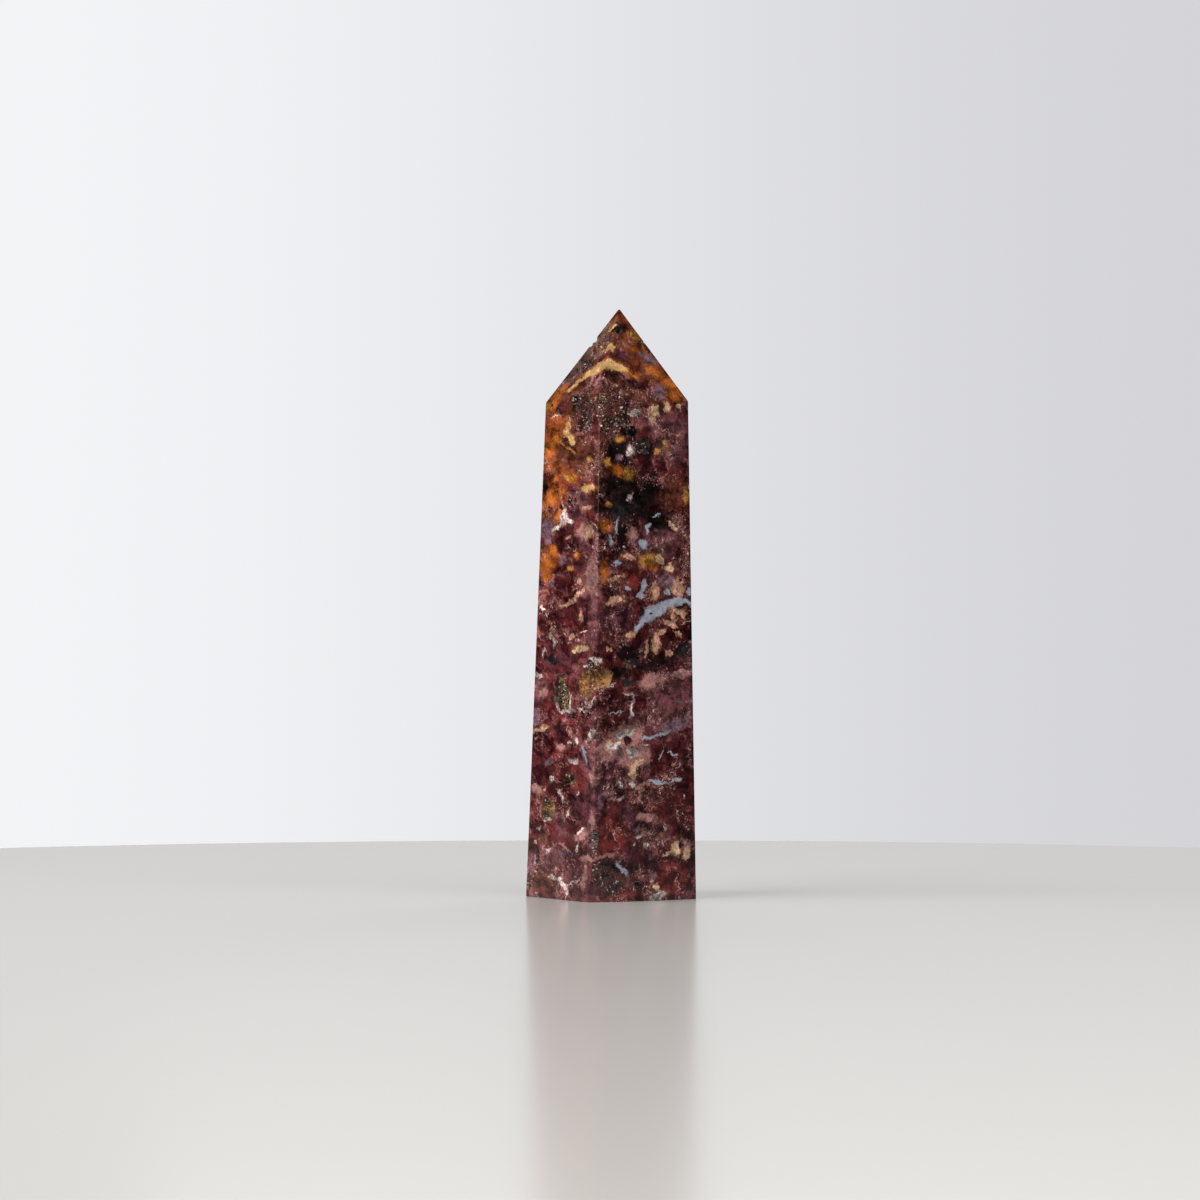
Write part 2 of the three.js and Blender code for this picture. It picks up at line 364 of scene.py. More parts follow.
def makeClastGroup():  # broken angular pieces: a shade for each, and the seams between them
    inputs = {"Place": "Vector", "Cells": "Float", "Seam": "Float"}
    group, given, result = newGroup("brokenPieces", inputs, {"Shade": "Float", "Seam": "Float"})
    cells = node(group, "TexVoronoi", {"Vector": given["Place"], "Scale": given["Cells"]})
    shade = node(group, "SeparateColor", {0: cells.outputs["Color"]})
    border = node(group, "TexVoronoi", {"Vector": given["Place"], "Scale": given["Cells"]},
                  feature="DISTANCE_TO_EDGE")
    group.links.new(shade.outputs[0], result["Shade"])
    group.links.new(rescale(group, border.outputs["Distance"], given["Seam"], 0.0), result["Seam"])
    return group


warpGroup = makeWarpGroup()
spotGroup = makeSpotGroup()
fleckGroup = makeFleckGroup()
clastGroup = makeClastGroup()

# Colours are given as they look on a lit face, in 0 to 255, and how strongly each face is lit
faceLight = {"front": 0.78, "left": 1.1, "right": 0.9, "back": 0.9, "all": 0.92}


def albedo(colour, face="all"):
    linear = [((c / 255 + 0.055) / 1.055) ** 2.4 if c > 10 else c / 255 / 12.92 for c in colour]
    return [min(0.9, c / faceLight[face]) for c in linear] + [1.0]


def ramp(tree, value, stops, blend="LINEAR"):
    added = node(tree, "ValToRGB", {"Fac": value})
    added.color_ramp.interpolation = blend
    elements = added.color_ramp.elements
    while len(elements) < len(stops):
        elements.new(0.5)
    for element, (place, colour) in zip(elements, stops):
        element.position = place
        element.color = albedo(colour)
    return added.outputs["Color"]


# Markings: each has its colours by face, and its places as across, up, half sizes and turn.
# Across is measured from the front upright edge, up from the base, and a turn is anticlockwise, in degrees.
# Ragged is how far noise tears the rim, soft how wide it fades, broken how much of it crumbles away.
markings = {
    "mauveAndEdgeHighlight": {
        "colour": (108, 65, 69), "ragged": 1.6, "soft": 0.45, "broken": 0,
        "front": [
            (12.5, 69.5, 3.6, 3.6), (11, 54.5, 3.4, 3.0), (12.8, 30.6, 5.0, 3.2, 8), (10.4, 28, 2.6, 2.6),
        ],
        "left": [
            (5.5, 59, 2.4, 2.8), (9.3, 11.2, 1.7, 1.6, 20), (11.5, 6.2, 5.4, 1.4, 3), (17.6, 4.5, 1.6, 2.6),
            # the last spot on this line and the one on the next run along the front edge: a painted highlight
            # of the rounded edge
            (2.8, 47.2, 2.4, 2.2, 20), (16.2, 31.6, 1.6, 2.2), (3.6, 54, 2.6, 1.6), (1.0, 43, 1.5, 8.0),
            (0.9, 17, 1.3, 10.0),
        ],
    },
    "rust": {
        "colour": (140, 70, 32), "ragged": 1.8, "soft": 0.5, "broken": 0.15,
        "front": [],
        "left": [
            (12.5, 71.5, 4.2, 2.4), (12, 66, 3.8, 2.2, -10), (12.8, 61, 3.6, 2.8), (14.3, 51, 3.0, 2.6),
            (12.5, 76, 3.0, 1.2, 20),
        ],
    },
    "tipRust": {
        "colour": (116, 60, 38), "ragged": 1.8, "soft": 0.5, "broken": 0.1,
        "front": [
            (4.0, 84.5, 4.2, 3.2), (7.5, 80.0, 5.0, 2.6, -20), (11.5, 77.6, 3.4, 1.8, -35),
            (1.0, 88.6, 1.5, 1.6),
        ],
        "left": [
            (0.6, 88.6, 1.2, 1.2),
        ],
    },
    "tipGrey": {
        "colour": (88, 66, 56), "ragged": 1.8, "soft": 0.5, "broken": 0.1,
        "front": [],
        "left": [
            (4.0, 83.6, 3.6, 2.8), (8.6, 80.2, 3.4, 2.2, 20), (2.2, 86.4, 2.2, 1.6),
        ],
    },
    "brown": {
        "colour": (94, 52, 40), "ragged": 1.8, "soft": 0.45, "broken": 0.2,
        "front": [
            (2.2, 68, 2.2, 2.0), (13.6, 61, 2.8, 2.2, 20), (1.4, 61.5, 1.2, 1.6),
            (6.5, 75.6, 5.0, 1.2, -15), (2.0, 76.5, 3.6, 1.8), (1.0, 66.0, 2.4, 4.0),
        ],
        "left": [
            (9.5, 66.8, 3.2, 1.6, -8), (14.5, 2.3, 4.0, 2.0, 5), (14, 8.8, 2.2, 0.8, -5),
            (8.5, 76.6, 4.5, 1.2, 20), (4.2, 66.0, 4.6, 3.4), (3.4, 75.4, 4.0, 1.6), (7.6, 73.2, 1.6, 2.6),
        ],
    },
    "maroonPieces": {
        "colour": (66, 25, 28), "ragged": 1.2, "soft": 0.12, "broken": 0.1,
        "front": [
            (7.0, 38.5, 1.7, 2.0), (13.2, 37.8, 3.2, 2.2, 15), (3.5, 30, 2.2, 1.4, 12),
            (3.0, 26.2, 2.6, 1.4), (8.0, 29.4, 1.1, 1.7, -22), (14.6, 21.4, 2.9, 3.0),
            (14.8, 13.8, 2.4, 3.4), (9.5, 20.5, 2.2, 2.2), (7.3, 54.3, 0.8, 0.6, 15), (1.5, 36.8, 1.6, 1.6),
            (10.5, 5.5, 3.2, 1.6),
        ],
        "left": [
            (8.0, 59.3, 1.3, 1.2), (9.2, 54.9, 2.4, 1.2), (9.5, 48, 3.4, 2.2), (13.5, 42.5, 4.0, 2.6),
            (8.2, 53.2, 2.6, 1.6), (5.3, 6.2, 2.4, 1.8, -10), (15.5, 18.5, 3.0, 2.0),
            (12.4, 62.5, 1.4, 0.4, 5), (14.2, 58.6, 1.0, 0.5, 35), (2.3, 57.0, 1.3, 0.5, -25),
            (1.6, 53.4, 1.0, 0.5, 15), (6.5, 43, 3.0, 1.4), (6.8, 13.0, 2.0, 1.6), (15.4, 23.5, 2.6, 1.2),
            (5.0, 27.0, 3.0, 1.2),
        ],
    },
    "plumPieces": {
        "colour": (80, 42, 48), "ragged": 1.0, "soft": 0.15, "broken": 0,
        "front": [
            (3.6, 42.0, 2.8, 2.1, 8), (3.3, 49.2, 1.5, 1.3), (5.8, 12.6, 1.2, 2.4, 12),
            (3.2, 18.6, 2.8, 2.0), (8.4, 19.2, 1.4, 1.2), (2.2, 82.0, 1.6, 0.7),
        ],
        "left": [
            (3.4, 14.0, 2.4, 1.8, 20), (10.6, 25.4, 1.2, 1.0), (11.5, 74.3, 1.3, 0.9, 20),
            (10.2, 35.6, 4.0, 1.1, 3),
        ],
    },
    "redPieces": {
        "colour": (108, 42, 42), "ragged": 1.2, "soft": 0.2, "broken": 0.1,
        "front": [
            (6.4, 47.5, 1.4, 1.2, 20), (3.0, 9.6, 2.4, 3.2, 10), (5.3, 1.2, 2.4, 1.0),
            (13.6, 3.4, 3.0, 2.4, 20), (4.5, 48.6, 0.9, 0.5),
        ],
        "left": [
            (10.2, 21.7, 2.6, 0.8, 4), (5.5, 56.0, 1.0, 0.8), (10.4, 34.6, 1.8, 0.5, -25),
            (6.5, 26.4, 2.2, 0.7),
        ],
    },
    "blackZones": {
        "colour": (30, 19, 20), "ragged": 1.9, "soft": 0.5, "broken": 0,
        "front": [
            (5.2, 59.4, 5.4, 4.2, 10), (3.6, 66.4, 2.6, 3.0), (10.4, 56.8, 3.0, 2.0, 20),
            (4.2, 62.2, 4.0, 2.4), (3.9, 54.8, 0.8, 3.8, 2), (8.4, 61.0, 2.6, 1.8),
            (7.8, 57.6, 2.4, 0.9, 20), (2.6, 61.8, 1.6, 2.4), (10.6, 35.7, 5.6, 1.3, 12),
            (5.6, 36.6, 2.4, 1.2, -10), (4.0, 33.8, 1.9, 1.0, -10), (8.6, 67.6, 1.2, 1.8),
            (2.6, 5.2, 2.6, 1.3, 10), (15.4, 37.6, 1.6, 0.9, 38), (1.4, 86.4, 0.9, 0.9),
        ],
        "left": [
            (6.6, 63.2, 0.9, 0.3, -20), (15.2, 62.6, 0.8, 1.0), (12.9, 36.4, 0.7, 0.5),
        ],
    },
    "inkGreen": {
        "colour": (40, 40, 40), "ragged": 1.6, "soft": 0.45, "broken": 0,
        "front": [
            (3.6, 58.0, 1.2, 1.4, 20), (3.6, 56.0, 0.4, 1.3, -5), (15.5, 37.2, 1.2, 0.6, 40),
            (5.3, 32.4, 1.1, 0.6, 10), (6.3, 35.4, 1.3, 0.5, -10), (3.7, 2.4, 1.2, 1.1, 20),
            (6.2, 59.0, 1.6, 0.5, 25),
        ],
        "left": [
            (12.6, 35.9, 1.6, 0.4, -12), (8.6, 33.6, 1.3, 0.3, 25), (12.4, 30.4, 0.6, 0.8),
        ],
    },
    "pinkGrounds": {
        "mottle": 0.75, "colour": (170, 122, 117),
        "ragged": 1.8, "soft": 0.3, "broken": 0.22,
        "front": [
            (5.6, 24.2, 3.0, 1.9, 12), (2.7, 22.4, 2.0, 1.5), (5.4, 21.0, 2.2, 1.2, -20),
            (8.2, 21.6, 1.6, 1.7, 35), (9.5, 32.6, 2.4, 0.9, 12), (15.2, 33.8, 2.0, 0.6, 8),
            (9.2, 12.2, 1.6, 0.6, -5), (6.0, 54.5, 1.2, 0.7), (15.6, 8.2, 1.6, 0.6),
            (1.6, 6.7, 2.0, 0.3, 12), (2.2, 3.6, 1.3, 0.7), (8.2, 16.9, 1.3, 0.45, 22),
            (7.8, 15.4, 0.3, 1.0),
        ],
        "left": [
            (1.6, 48.2, 1.6, 2.6), (3.6, 55.0, 2.6, 1.2), (2.5, 3.8, 0.6, 2.4, -8),
            (1.9, 6.4, 1.8, 0.45, 5), (0.7, 18.5, 0.7, 1.6), (16.6, 16.2, 1.4, 0.8, -10),
            (0.6, 11.6, 0.5, 2.0), (9.8, 22.8, 2.0, 0.5, -10), (15.0, 31.0, 1.4, 0.8, 20),
            (3.6, 9.6, 2.0, 0.7, 25),
        ],
    },
    "orange": {
        "colour": (176, 97, 38), "ragged": 1.9, "soft": 0.55, "broken": 0.15,
        "front": [
            (3.3, 64.0, 1.3, 0.8, -20), (12.8, 77.3, 1.9, 1.9, -35), (13.4, 75.6, 1.6, 0.8),
            (8.6, 79.8, 1.6, 1.0, -40), (4.6, 79.0, 1.6, 0.5, -15), (5.6, 82.9, 1.4, 0.6, -20),
            (1.2, 55.6, 1.2, 0.9), (9.6, 49.7, 1.2, 0.5), (1.2, 48.6, 0.8, 1.6),
        ],
        "left": [
            (14.2, 68.4, 2.1, 1.5), (12.4, 69.8, 1.7, 0.6, 8), (8.3, 63.6, 2.4, 0.9, -18),
            (14.4, 60.3, 1.9, 0.9, 10), (13.2, 61.9, 0.8, 0.7), (10.6, 61.4, 0.9, 0.7),
            (12.4, 63.6, 0.8, 0.6), (15.1, 58.2, 0.9, 0.5), (13.1, 52.6, 1.5, 0.9, 18),
            (14.8, 50.8, 1.9, 1.3), (15.0, 48.6, 1.0, 0.8), (6.0, 51.1, 1.1, 0.5, 20),
            (12.2, 77.1, 1.8, 0.6, 25), (14.0, 75.2, 1.8, 1.0, 15), (11.6, 57.9, 1.4, 0.8, 25),
        ],
    },
    "gold": {
        "halo": (140, 84, 44), "colour": (188, 134, 62), "ragged": 1.9, "soft": 0.35, "broken": 0.3,
        "front": [
            (1.6, 65.1, 0.6, 0.5), (5.2, 63.5, 0.9, 0.9), (3.8, 85.4, 1.0, 0.8), (11.6, 68.3, 0.5, 0.7),
            (9.0, 50.8, 1.6, 0.8, 8), (1.6, 58.8, 0.4, 0.4), (3.6, 68.6, 0.7, 0.4, 15),
            (10.2, 67.3, 0.5, 0.4), (15.6, 60.6, 0.5, 1.0),
        ],
        "left": [
            (7.9, 49.5, 0.9, 0.35, 5), (8.8, 63.4, 1.3, 0.4, -15), (15.4, 75.0, 0.7, 0.9, 20),
            (5.9, 51.4, 0.6, 0.35), (2.9, 65.6, 0.6, 0.5), (9.4, 68.2, 3.2, 0.2, -25),
        ],
    },
    "tan": {
        "halo": (112, 62, 50), "mottle": 0.7, "colour": (212, 164, 138),
        "ragged": 1.9, "soft": 0.22, "broken": 0.5,
        "front": [
            (3.4, 44.4, 1.7, 0.55, 15), (10.2, 46.0, 0.9, 1.3), (14.2, 47.0, 1.3, 1.2),
            (14.9, 45.8, 0.6, 0.9), (3.5, 47.9, 1.5, 0.3, 12), (14.0, 43.4, 1.5, 0.35, -20),
            (13.6, 42.0, 0.5, 1.0, 15), (13.0, 41.2, 1.4, 0.3, -15), (10.4, 38.3, 0.6, 1.5, -5),
            (8.8, 37.3, 0.35, 1.4, -10), (6.2, 39.5, 0.9, 0.45, 15), (12.8, 36.8, 0.6, 0.6),
            (11.6, 40.1, 0.9, 0.25, 30), (14.3, 39.7, 0.8, 0.3, -35), (2.3, 37.3, 0.7, 0.35),
            (16.0, 41.6, 1.0, 0.14, 10), (15.4, 42.8, 0.5, 0.8, 20), (5.4, 51.0, 1.2, 0.5),
            (9.2, 73.0, 0.6, 0.9, 20),
        ],
        "left": [
            (2.7, 55.0, 1.2, 1.1), (8.0, 44.4, 2.5, 0.3, 12), (5.2, 45.6, 1.8, 0.45, 20),
            (4.6, 42.0, 0.6, 0.8), (10.2, 43.9, 0.7, 0.3), (15.6, 25.6, 2.4, 0.4, 8), (5.0, 47.6, 0.6, 0.4),
            (3.0, 58.4, 1.2, 0.3),
        ],
    },
    "cream": {
        "halo": (140, 88, 74), "mottle": 0.7, "colour": (222, 184, 150),
        "ragged": 1.7, "soft": 0.2, "broken": 0.45,
        "front": [
            (9.8, 73.5, 0.6, 0.8), (9.4, 72.0, 0.7, 0.5, -35), (11.9, 74.2, 0.5, 0.8, 20),
            (14.2, 74.3, 0.6, 0.4), (11.1, 50.8, 0.7, 0.7), (12.7, 49.6, 1.0, 0.5, 5),
            (13.2, 56.2, 1.0, 0.3, -35), (6.7, 19.0, 0.5, 1.0), (7.7, 20.4, 1.2, 0.5, 20),
            (2.5, 22.6, 0.6, 1.0, 10), (14.5, 7.7, 0.8, 1.1), (16.5, 6.9, 0.6, 1.1, -10),
            (13.0, 6.9, 0.9, 0.25, 20), (11.1, 1.9, 0.7, 0.35), (11.6, 68.6, 0.3, 0.3),
            (13.8, 69.9, 0.5, 0.14, 5),
        ],
        "left": [
            (4.2, 37.5, 1.8, 0.6), (6.3, 37.0, 0.6, 0.3), (7.0, 39.3, 0.8, 0.35, 10),
            (12.6, 73.2, 1.9, 0.12, -3), (17.0, 25.1, 1.0, 0.2, 15), (8.4, 54.5, 0.8, 0.2),
        ],
    },
    "creamBand": {
        "halo": (150, 92, 56), "mottle": 0.5, "colour": (222, 176, 118),
        "ragged": 1.5, "soft": 0.2, "broken": 0.25,
        "front": [
            (0.8, 80.2, 1.6, 1.0, 5), (2.4, 79.9, 1.4, 0.7, -15), (0.3, 83.0, 0.5, 0.8),
        ],
        "left": [
            (1.4, 80.0, 2.2, 1.0, 8), (4.0, 79.3, 2.0, 0.7, 10), (6.6, 78.3, 2.0, 0.45, 25),
            (0.7, 83.0, 0.7, 0.8, 20), (0.5, 86.4, 0.7, 0.7), (8.6, 77.4, 1.6, 0.5, 25),
            (9.1, 71.2, 0.9, 0.9), (9.3, 70.3, 0.9, 0.7, -20), (7.9, 69.2, 1.3, 0.65, -40),
            (3.0, 61.3, 2.0, 0.5, -5),
        ],
    },
    "blueVein": {
        "halo": (84, 50, 56), "mottle": 0.4, "colour": (146, 151, 165),
        "ragged": 0.9, "soft": 0.26, "broken": 0,
        "front": [
            (7.7, 41.0, 1.5, 0.6, 38), (9.4, 42.6, 1.6, 1.0, 25), (11.0, 43.3, 1.7, 0.9, 20),
            (12.8, 44.3, 1.6, 0.6, 15), (15.0, 44.7, 1.8, 0.4, -4), (16.6, 44.4, 0.9, 0.3, -6),
            (8.2, 46.9, 0.5, 1.0, -22), (7.6, 45.6, 0.45, 0.8, -30), (5.3, 46.3, 0.5, 0.4),
            (8.8, 55.3, 0.35, 0.9, -28), (7.9, 53.1, 0.5, 0.7, -10), (10.2, 57.4, 0.7, 0.16, 10),
            (3.4, 50.1, 0.8, 0.2), (9.5, 24.2, 1.7, 0.25, 8), (12.3, 25.0, 1.6, 0.3, 20),
            (11.0, 17.6, 1.8, 0.22), (14.4, 17.8, 1.4, 0.12, 8), (11.7, 21.6, 0.14, 1.0, -20),
            (13.5, 21.8, 0.8, 0.16, -22), (16.4, 46.4, 0.5, 0.6), (3.5, 27.8, 1.4, 0.1, 8),
            (5.0, 4.8, 1.4, 0.3, -42), (3.4, 2.6, 1.0, 0.3, 40), (2.2, 53.3, 0.35, 0.9, 12),
            (12.2, 46.2, 0.5, 0.5), (3.4, 55.6, 0.2, 1.4, -8),
        ],
        "left": [
            (2.9, 21.8, 0.3, 1.5, 25),
        ],
    },
    "lilac": {
        "colour": (124, 94, 106), "ragged": 1.5, "soft": 0.4, "broken": 0.1,
        "front": [
            (12.4, 47.7, 1.3, 0.9), (1.4, 15.7, 0.7, 0.45, 15), (1.1, 14.5, 0.3, 0.9, 8),
            (14.5, 29.6, 0.6, 0.4), (16.7, 29.6, 0.35, 0.35), (9.8, 6.2, 0.3, 0.4),
            (10.7, 3.9, 0.6, 0.4, -30), (14.4, 26.2, 2.6, 0.9, 15), (7.0, 81.9, 1.7, 0.8, -35),
            (10.4, 76.5, 1.0, 1.4, -30), (4.1, 22.4, 0.7, 1.1), (7.5, 10.7, 0.7, 0.4, 35),
            (3.6, 65.8, 0.8, 0.5),
        ],
        "left": [
            (14.6, 56.0, 1.9, 1.6), (14.2, 54.2, 1.2, 0.6), (13.4, 47.6, 0.8, 0.5), (17.2, 27.2, 1.2, 1.0),
            (10.0, 50.9, 1.0, 0.6), (13.0, 20.6, 1.4, 0.4, 8), (8.6, 7.0, 1.6, 0.3, -5),
        ],
    },
    "white": {
        "halo": (138, 92, 90), "colour": (226, 212, 206), "ragged": 1.9, "soft": 0.25, "broken": 0.55,
        "front": [
            (11.2, 0.8, 1.5, 0.5, 10), (9.2, 8.3, 0.4, 0.35), (9.9, 9.9, 0.22, 0.2), (7.1, 8.3, 0.2, 0.3),
            (11.1, 9.0, 0.3, 0.16), (12.2, 10.5, 0.14, 0.3, 30), (15.7, 15.4, 0.14, 0.35, -20),
            (7.8, 9.6, 0.5, 0.3), (5.6, 60.0, 0.4, 0.5), (5.6, 67.1, 0.7, 0.7, 20),
            (6.2, 72.8, 0.9, 0.35, 35), (4.5, 15.1, 0.7, 0.25, 30), (6.3, 28.6, 0.28, 1.9, -12),
            (6.1, 30.7, 1.0, 0.14, -5), (8.9, 23.0, 0.4, 0.2), (4.4, 17.2, 0.2, 0.8, 15),
            (5.2, 24.8, 1.5, 0.6, 12), (6.5, 22.0, 1.2, 0.7), (3.2, 23.0, 1.2, 0.4, 20),
            (6.5, 17.3, 0.4, 0.6), (1.4, 31.1, 0.18, 0.14), (2.9, 31.8, 0.6, 0.12, 20),
        ],
        "left": [
            (9.9, 57.3, 1.1, 0.8), (11.9, 56.1, 1.2, 0.4, 22), (8.0, 56.7, 1.2, 0.3, -15),
            (10.0, 58.5, 0.45, 0.8, 10), (15.7, 44.1, 0.8, 0.3, -20), (13.0, 39.7, 0.6, 0.6),
            (12.2, 38.6, 0.3, 0.6), (15.2, 37.3, 0.3, 0.7, -10), (3.6, 40.0, 1.0, 0.12, 5),
            (5.2, 38.7, 0.6, 0.2), (1.1, 35.4, 1.3, 0.45, 8), (17.0, 33.8, 1.3, 0.3, -8),
            (1.3, 24.5, 1.2, 0.6, 30), (5.3, 23.8, 0.3, 0.5, 20), (7.6, 23.2, 0.5, 0.3),
            (6.1, 20.6, 1.1, 0.4, -10), (12.2, 18.0, 0.4, 0.5), (9.9, 15.9, 1.1, 0.22, -30),
            (8.9, 15.2, 0.3, 0.5), (7.4, 12.9, 0.2, 0.8, -35), (4.9, 15.8, 0.2, 0.6, -30),
            (10.6, 3.0, 1.9, 0.3, -8), (8.2, 2.2, 1.2, 0.35, -5), (5.2, 2.9, 1.4, 0.2, 20),
            (7.2, 1.6, 0.3, 0.7), (4.0, 10.3, 1.4, 0.22, 25), (4.6, 7.8, 0.3, 0.6, -20),
            (12.9, 7.1, 0.9, 0.2, 25), (16.9, 5.8, 0.3, 0.8), (17.2, 8.2, 0.5, 0.25),
            (13.6, 12.0, 0.7, 0.2), (15.8, 10.6, 0.4, 0.2), (3.6, 28.4, 1.8, 0.2, -6),
            (1.2, 29.3, 1.0, 0.2, 38), (8.8, 28.2, 1.9, 0.22, -4), (7.1, 29.4, 0.3, 1.1),
            (11.0, 28.8, 0.7, 0.4, -30), (2.8, 34.9, 0.8, 0.2, 10), (8.4, 72.4, 0.2, 0.2),
        ],
    },
    "darkEyes": {
        "colour": (52, 26, 30), "ragged": 1.4, "soft": 0.25, "broken": 0,
        "front": [
            (9.8, 42.8, 0.3, 0.16), (5.7, 23.6, 0.6, 0.7), (14.8, 47.8, 0.3, 0.3),
            (2.0, 53.2, 0.14, 0.5, 12), (15.3, 8.0, 0.4, 0.5), (15.4, 6.3, 0.5, 0.4), (1.6, 86.2, 0.5, 0.5),
        ],
        "left": [
            (12.2, 74.2, 0.5, 0.4), (4.0, 21.6, 0.5, 0.5), (10.6, 59.0, 0.3, 0.5, 30),
            (13.9, 75.2, 0.25, 0.2),
        ],
    },
}
underFlecks = ("mauveAndEdgeHighlight", "rust", "tipRust", "tipGrey", "brown", "maroonPieces", "plumPieces",
               "redPieces")  # these lie below the small flecks, the others above them
hiddenShare = {"right": 0.35, "back": 0.35}  # how many of each marking the two unseen faces repeat, elsewhere
hiddenSpot = {"wider": 1.3, "turn": 60, "fromSides": (1, 3), "up": (2, 84)}
spotDepth = 1.5
haloRim = {"outer": 1.9, "inner": 0.8, "amount": 0.55}
aroundEdge = 0.5  # how near the front edge a marking has to come to show on both faces


def spotAxes(face, across, up, halfAcross, halfUp, turn=0):
    first, _, rightHand = faceEdges[face]
    side, facet = facePlanes(face)
    onFacet = up > stone["cornerHeights"][first]
    normal = (facet if onFacet else side)[1]
    direction = rightHand if face in ("front", "right") else -rightHand
    centre = cornerAt(first, up) + direction * across
    upward = normal.cross(rightHand)
    upward = upward if upward.z > 0 else -upward
    c, s = math.cos(math.radians(turn)), math.sin(math.radians(turn))
    along = (rightHand * c + upward * s) / halfAcross
    square = (upward * c - rightHand * s) / halfUp
    return centre, along, square, normal / spotDepth


def hiddenSpots(face, seen):  # markings of the same sizes scattered over a face that the photo doesn't show
    count = round(len(seen) * hiddenShare[face])
    chosen = random.sample(seen, count) if count else []
    width = (high - low).x if face == "back" else (high - low).y
    wider, turn = hiddenSpot["wider"], hiddenSpot["turn"]
    first, last = hiddenSpot["fromSides"]
    return [(random.uniform(first, width - last), random.uniform(*hiddenSpot["up"]),
             spot[2] * wider, spot[3] * wider, random.uniform(-turn, turn)) for spot in chosen]


def spotsOn(face, layer):  # a face's own markings, and those of its neighbour that reach round the front edge
    if face in hiddenShare:
        return [(face, spot) for spot in hiddenSpots(face, layer["front"] + layer["left"])]
    other = "left" if face == "front" else "front"
    reaching = [(other, spot) for spot in layer[other] if spot[0] < spot[2] + aroundEdge]
    return [(face, spot) for spot in layer[face]] + reaching


def layMarkings(tree, face, colour, layers, place, fray, crumbs, mottle):
    for layer in layers:
        reach = None
        for side, spot in spotsOn(face, layer):
            centre, across, up, out = spotAxes(side, *spot)
            inputs = {"Place": place, "Centre": centre, "Across": across, "Up": up, "Out": out}
            single = fillGroup(tree, spotGroup, inputs)["Reach"]
            reach = single if reach is None else maths(tree, "MINIMUM", reach, single)
        if reach is None:
            continue
        torn = maths(tree, "MULTIPLY_ADD", fray, layer["ragged"], reach)
        if "halo" in layer:
            rim = rescale(tree, torn, haloRim["outer"], haloRim["inner"])
            rimShade = mixColour(tree, 1.0, albedo(layer["halo"], face), mottle, "MULTIPLY")
            rimShare = maths(tree, "MULTIPLY", rim, haloRim["amount"])
            colour = mixColour(tree, rimShare, colour, rimShade)
        mask = rescale(tree, torn, 1 + layer["soft"], 1 - layer["soft"])
        whole = maths(tree, "MAXIMUM", crumbs, 1 - layer["broken"])
        shade = mixColour(tree, layer.get("mottle", 1.0), albedo(layer["colour"], face), mottle, "MULTIPLY")
        colour = mixColour(tree, maths(tree, "MULTIPLY", mask, whole), colour, shade)
    return colour


liningColours = {
    # dark is painted shade for the deep pits, holes and clefts
    "brown": (84, 52, 40), "grey": (84, 62, 58), "dark": (46, 26, 25), "druse": (88, 38, 30),
    # the olive lining is partly a real olive crust, partly painted shade: the darker rim left round the paler
    # cores
    "ochre": (150, 102, 44), "oliveAndShade": (76, 62, 38), "moss": (140, 110, 54), "burnt": (70, 38, 38),
    "quartz": (176, 160, 152), "tawny": (128, 80, 54),
}


liningCores = [  # paler crusts in the depth of some hollows; in the olive hollows the darker lining left around them is a painted shaded rim
    ((-8.22, 3.8, 13.3), (1.3, 1.3, 0.9), "moss"), ((-8.22, -2.1, 17.4), (1.2, 0.8, 0.4), "moss"),
    ((-7.92, 0.6, 32.6), (1.3, 0.9, 0.9), "moss"), ((-7.92, -0.3, 29.6), (1.4, 0.9, 0.8), "moss"),
    ((-9.02, 4.0, 11.8), (0.9, 1.2, 0.4), "quartz"), ((-9.02, -2.9, 18.6), (0.8, 1.0, 0.4), "quartz"),
    ((-9.02, -0.2, 28.3), (0.9, 1.4, 0.5), "quartz"), ((-9.02, -1.6, 31.0), (0.9, 0.3, 1.8), "quartz"),
    ((-9.1, -7.0, 29.2), (1.0, 1.7, 0.4), "quartz"), ((-6.6, -7.72, 75.2), (1.6, 1.6, 0.7), "tawny"),
    ((-8.02, -6.4, 74.4), (0.9, 1.0, 0.5), "quartz"),
    ((-3.0, -9.32, 72.6), (0.8, 0.8, 0.8), "quartz"), ((-2.9, 0.4, 86.3), (0.9, 0.9, 0.5), "tawny"),
]


liningRim = {"within": 0.85, "ragged": 1.6, "soft": 0.15}
cracks = {"noise": (0.6, 4.0, 0.7), "width": (0.02, 0.006), "colour": (16, 11, 9)}


def layLinings(tree, colour, place, fray, mottle):  # each hollow's wall takes the colour of what lines it; the dark lining and the darker olive rims are painted shade
    linings = [(at, half, lining) for at, half, _, lining, _ in hollows.values()]
    for at, half, lining in linings + liningCores:
        x, y, z = (liningRim["within"] / size for size in half)
        inputs = {"Place": place, "Centre": at, "Across": (x, 0, 0), "Up": (0, y, 0), "Out": (0, 0, z)}
        reach = fillGroup(tree, spotGroup, inputs)["Reach"]
        torn = maths(tree, "MULTIPLY_ADD", fray, liningRim["ragged"], reach)
        mask = rescale(tree, torn, 1 + liningRim["soft"], 1 - liningRim["soft"])
        shade = mixColour(tree, 1.0, albedo(liningColours[lining], "all"), mottle, "MULTIPLY")
        colour = mixColour(tree, mask, colour, shade)
    line = rescale(tree, foldOf(tree, place, *cracks["noise"]), *cracks["width"])
    return mixColour(tree, line, colour, albedo(cracks["colour"]))


